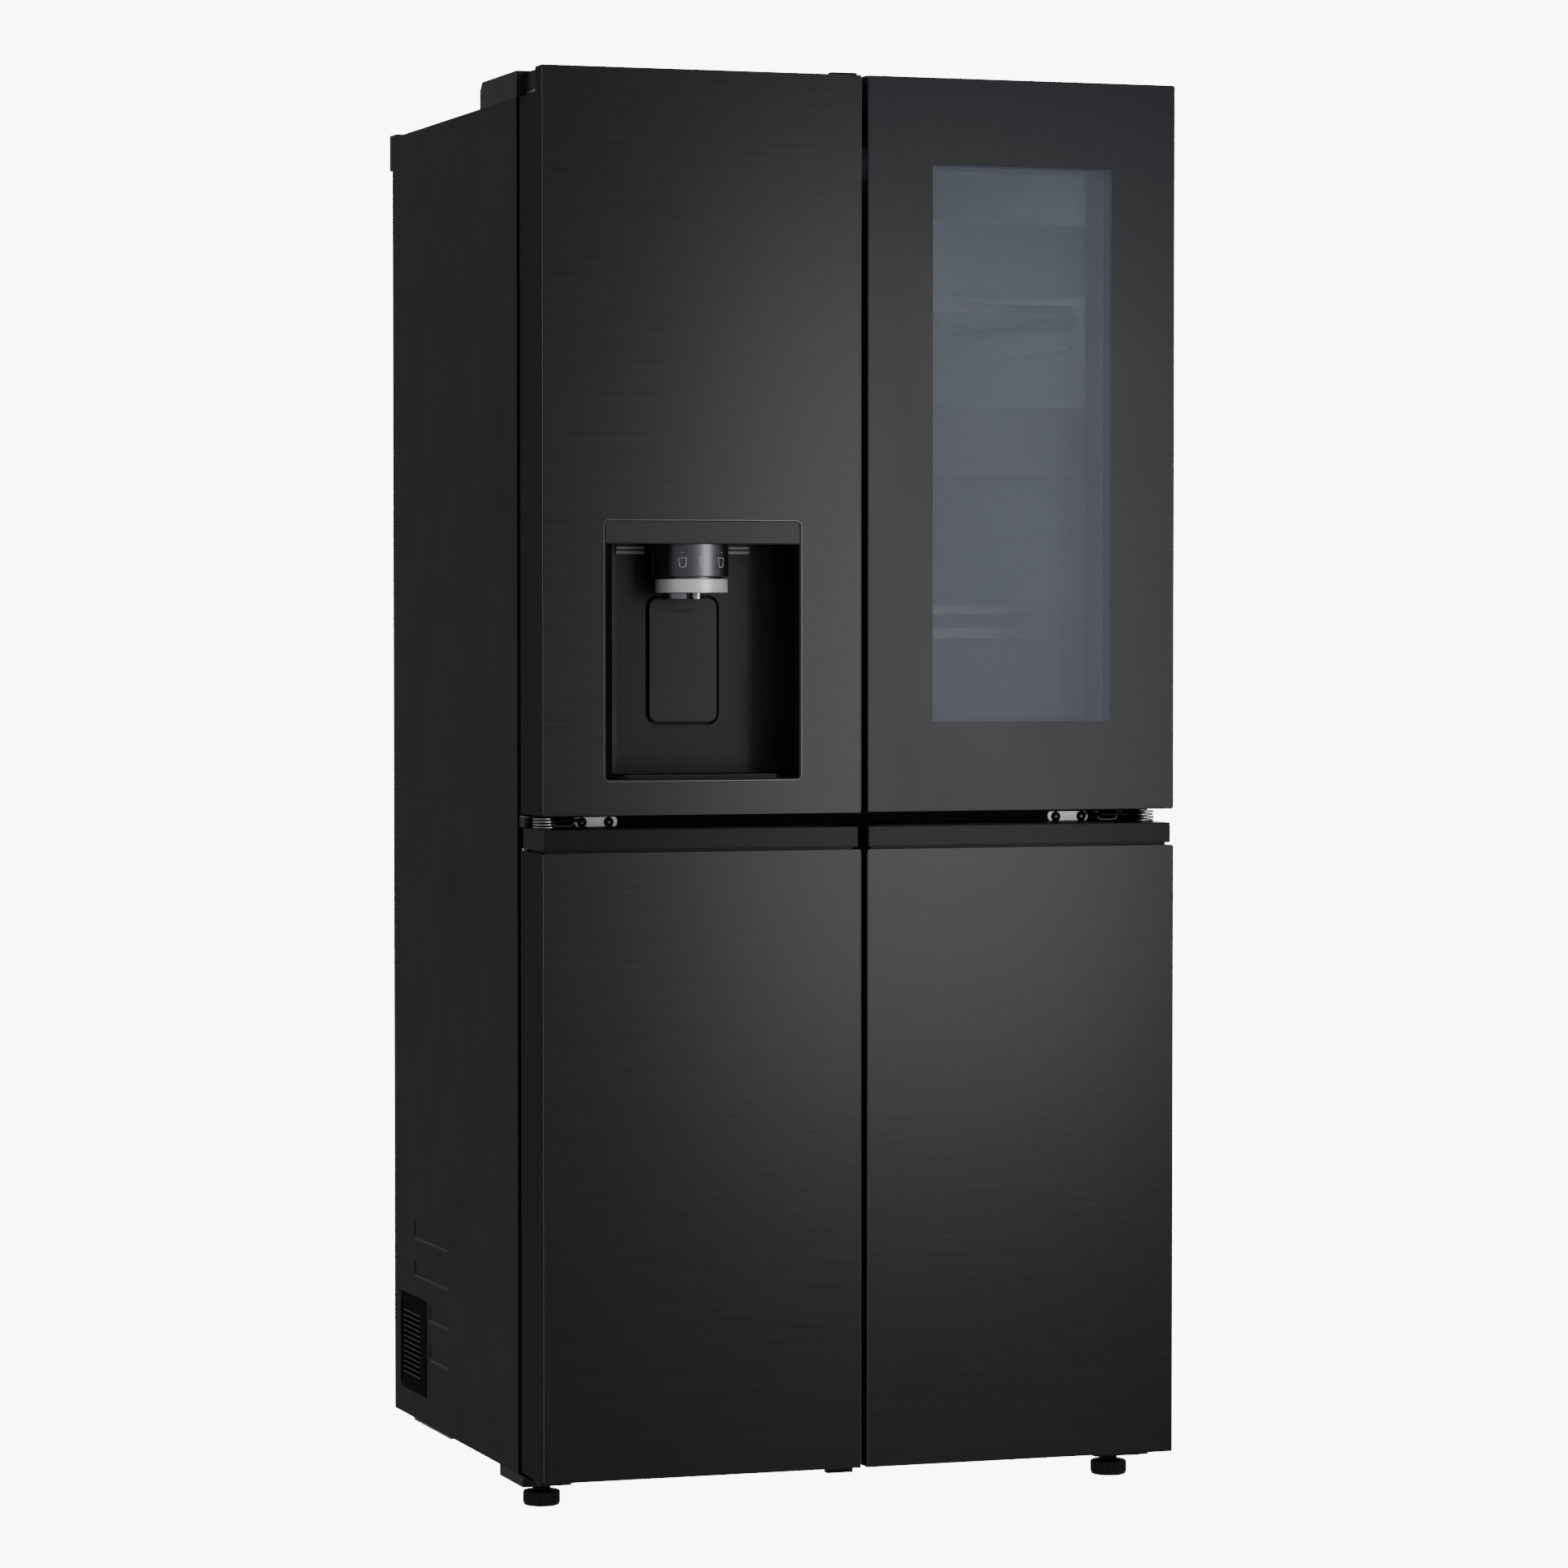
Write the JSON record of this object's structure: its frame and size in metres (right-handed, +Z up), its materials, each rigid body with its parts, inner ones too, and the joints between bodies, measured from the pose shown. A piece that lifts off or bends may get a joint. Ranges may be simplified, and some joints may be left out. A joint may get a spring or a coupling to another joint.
{
  "type": "french door refrigerator",
  "caption": "French door refrigerator in dark brushed steel with a glass-fronted door, a door water dispenser, lower freezer doors, shelves, drawers, feet and rollers.",
  "frame": {"origin": "floor level, under the middle of the body's bounding box", "axes": "+Z up, the doors face -Y, +X to the right seen from the front"},
  "size_m": [0.835, 0.734, 1.787],
  "materials": {
    "black_steel": "brushed, dark",
    "side_paint": "satin paint",
    "dark_paint": "satin paint",
    "black_paint": "matt paint",
    "grey_steel": "galvanised",
    "hinge_steel": "plated",
    "gunmetal": "metallic",
    "satin_metal": "satin",
    "chrome": "polished",
    "black_plastic": "matt",
    "dark_plastic": "satin",
    "gloss_black": "gloss",
    "grey_plastic": "satin",
    "white_plastic": "satin",
    "clear_plastic": "clear",
    "clear_glass": "clear",
    "dark_glass": "tinted, glossy",
    "gasket_rubber": "matt",
    "foam": "rigid insulation foam"
  },
  "bodies": {
    "cabinet": {"cabinet_shell": "side_paint", "cabinet_foam": "foam", "fresh_liner": "white_plastic", "freezer_liners": "white_plastic", "front_frame": "dark_paint", "back_panel": "grey_steel", "machine_cover": "grey_steel", "base_pan": "grey_steel", "compressor": "black_paint", "vent_grille": "black_plastic", "rear_spacers": "black_plastic", "power_inlet": "black_plastic", "top_hinges": "hinge_steel", "hinge_covers": "black_plastic", "mid_hinges": "hinge_steel", "bottom_hinges": "black_paint", "feet": "black_plastic", "hinge_screws": "hinge_steel", "shelves": "clear_glass", "shelf_trims": "white_plastic", "crispers": "clear_plastic", "freezer_drawers": "clear_plastic"},
    "upper_left_door": {"door_ul_skin": "black_steel", "door_ul_foam": "foam", "door_ul_liner": "white_plastic", "door_ul_gasket": "gasket_rubber", "door_ul_caps": "black_plastic", "door_ul_baskets": "clear_plastic", "dispenser_housing": "black_plastic", "dispenser_fascia": "gloss_black", "dispenser_head": "gunmetal", "dispenser_ring": "satin_metal", "dispenser_nozzle": "chrome", "dispenser_tray": "gunmetal", "flip_mullion": "grey_plastic"},
    "upper_right_door": {"door_ur_glass": "dark_glass", "door_ur_shell": "side_paint", "door_ur_foam": "foam", "door_ur_frame": "dark_plastic", "door_ur_pane": "clear_glass", "door_ur_liner": "white_plastic", "door_ur_gasket": "gasket_rubber", "door_ur_caps": "black_plastic", "door_ur_baskets": "clear_plastic"},
    "lower_left_door": {"door_ll_skin": "black_steel", "door_ll_foam": "foam", "door_ll_liner": "white_plastic", "door_ll_gasket": "gasket_rubber", "door_ll_caps": "black_plastic", "door_ll_baskets": "clear_plastic"},
    "lower_right_door": {"door_lr_skin": "black_steel", "door_lr_foam": "foam", "door_lr_liner": "white_plastic", "door_lr_gasket": "gasket_rubber", "door_lr_caps": "black_plastic", "door_lr_baskets": "clear_plastic"},
    "dispenser_lever": {"dispenser_paddle": "black_plastic"},
    "condenser_fan": {"condenser_fan": "black_plastic"},
    "roller_left": {"roller_left": "black_plastic"},
    "roller_right": {"roller_right": "black_plastic"}
  },
  "joints": [
    {"name": "upper_left_hinge", "type": "hinge", "parent": "cabinet", "child": "upper_left_door", "pos_m": [-0.3975, -0.31, 0.9], "axis": [0, 0, -1], "range_deg": [0, 125]},
    {"name": "upper_right_hinge", "type": "hinge", "parent": "cabinet", "child": "upper_right_door", "pos_m": [0.3975, -0.31, 0.9], "axis": [0, 0, 1], "range_deg": [0, 125]},
    {"name": "lower_left_hinge", "type": "hinge", "parent": "cabinet", "child": "lower_left_door", "pos_m": [-0.3975, -0.31, 0.9], "axis": [0, 0, -1], "range_deg": [0, 125]},
    {"name": "lower_right_hinge", "type": "hinge", "parent": "cabinet", "child": "lower_right_door", "pos_m": [0.3975, -0.31, 0.9], "axis": [0, 0, 1], "range_deg": [0, 125]},
    {"name": "dispenser_lever_hinge", "type": "hinge", "parent": "upper_left_door", "child": "dispenser_lever", "pos_m": [-0.211, -0.277, 1.13], "axis": [1, 0, 0], "range_deg": [0, 3], "stiffness_Nm_per_rad": 0.6, "springref_deg": -2.86},
    {"name": "condenser_fan_spin", "type": "hinge", "parent": "cabinet", "child": "condenser_fan", "pos_m": [0.105, 0.2655, 0.13], "axis": [1, 0, 0], "continuous": true},
    {"name": "roller_left_spin", "type": "hinge", "parent": "cabinet", "child": "roller_left", "pos_m": [-0.2975, 0.273, 0.018], "axis": [1, 0, 0], "continuous": true},
    {"name": "roller_right_spin", "type": "hinge", "parent": "cabinet", "child": "roller_right", "pos_m": [0.2975, 0.273, 0.018], "axis": [1, 0, 0], "continuous": true}
  ]
}
